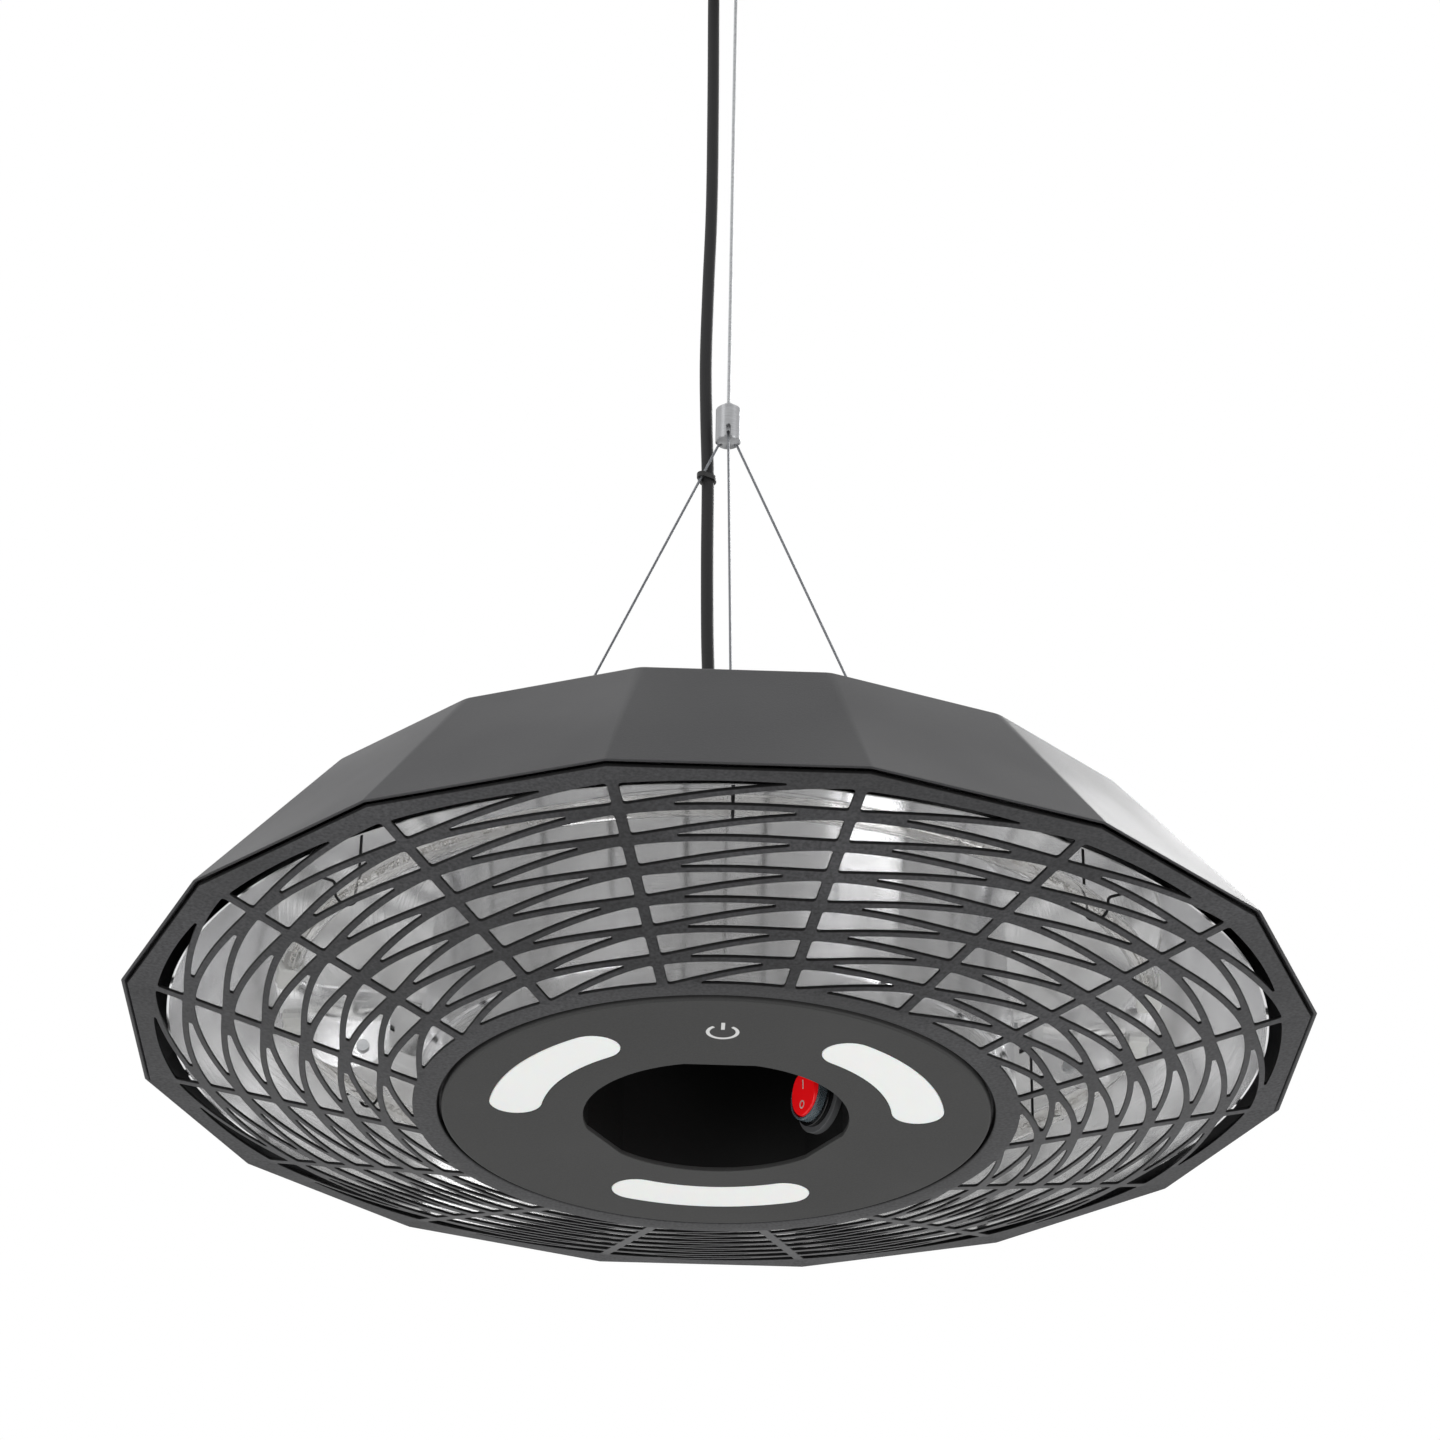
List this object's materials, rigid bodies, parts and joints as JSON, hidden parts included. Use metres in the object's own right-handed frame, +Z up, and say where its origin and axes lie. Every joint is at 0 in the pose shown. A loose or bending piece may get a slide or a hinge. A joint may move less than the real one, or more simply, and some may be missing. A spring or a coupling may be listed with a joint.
{
  "type": "ceiling infrared patio heater",
  "caption": "Hanging faceted infrared heater with a dished slotted guard, curved quartz lamps, lit lower plate and a rocker switch in its central well, on a rope and leg wires.",
  "frame": {"origin": "centre of the ceiling plate's two screw holes, on its top face against the ceiling", "axes": "+Z up along the rope, towards the ceiling; +X along the row of the two screw holes, -Y towards the side with the printed power symbol"},
  "size_m": [0.5884, 0.5884, 0.8094],
  "materials": {
    "shade_paint": "fine textured dark grey powder coat",
    "grille_paint": "fine textured dark grey powder coat",
    "plate_paint": "matt dark grey coat",
    "well_black": "matt black coat",
    "polished_aluminium": "polished, fine rolling lines",
    "plain_sheet": "plain mill finish",
    "steel": "satin",
    "steel_rope": "stranded",
    "quartz": "clear",
    "coil_metal": "wound wire",
    "ceramic": "white glazed ceramic",
    "black_wire": "dark blued wire",
    "frosted": "frosted white",
    "circuit_white": "white board",
    "circuit_green": "green board",
    "black_plastic": "moulded",
    "grey_plastic": "moulded",
    "clear_seal": "translucent silicone",
    "red_rocker": "translucent red",
    "cream_plastic": "moulded",
    "white_plastic": "moulded",
    "brass": "plain",
    "cord_rubber": "matt black sheath",
    "nickel": "nickel plated"
  },
  "bodies": {
    "heater": {"housing_shade": "shade_paint", "grille": "grille_paint", "grille_screws": "steel", "core_drum": "plain_sheet", "reflector": "polished_aluminium", "reflector_inner_wall": "polished_aluminium", "reflector_posts": "steel", "lamp_tube_near": "quartz", "lamp_tube_far": "quartz", "heating_coil_near": "coil_metal", "heating_coil_far": "coil_metal", "lamp_caps": "ceramic", "lamp_bracket_left": "polished_aluminium", "lamp_bracket_right": "polished_aluminium", "bracket_screws": "steel", "lamp_clips": "black_wire", "lower_plate": "plate_paint", "well_tube": "well_black", "control_tray": "plain_sheet", "tray_screws": "steel", "mains_terminal": "cream_plastic", "control_board": "circuit_green", "board_spacers": "brass", "relays": "black_plastic", "lamp_driver": "white_plastic", "light_window_1": "frosted", "light_window_2": "frosted", "light_window_3": "frosted", "light_board": "circuit_white", "touch_sensor": "black_plastic", "switch_boss": "grey_plastic", "switch_body": "black_plastic", "switch_seal": "clear_seal", "wire_anchors": "black_wire", "anchor_nuts": "steel", "leg_wire_1": "steel_rope", "leg_wire_2": "steel_rope", "leg_wire_3": "steel_rope", "gripper_body": "nickel", "main_rope": "steel_rope", "housing_gland": "black_plastic", "gland_nut": "black_plastic", "power_cord": "cord_rubber", "cable_tie": "black_plastic", "rope_coupler": "nickel", "ceiling_plate": "steel", "ceiling_cup": "shade_paint", "ceiling_gland": "black_plastic", "ceiling_terminal": "cream_plastic"},
    "rocker": {"switch_rocker": "red_rocker"},
    "plunger": {"gripper_plunger": "nickel"}
  },
  "joints": [
    {"name": "rocker_hinge", "type": "hinge", "parent": "heater", "child": "rocker", "pos_m": [0.0485, 0.028, -0.7823], "axis": [-0.4755, 0.8236, 0.309], "range_deg": [0, 16]},
    {"name": "gripper_release", "type": "slide", "parent": "heater", "child": "plunger", "axis": [0, 0, -1], "range_m": [0, 0.002], "stiffness_N_per_m": 500, "springref_m": -0.002}
  ]
}
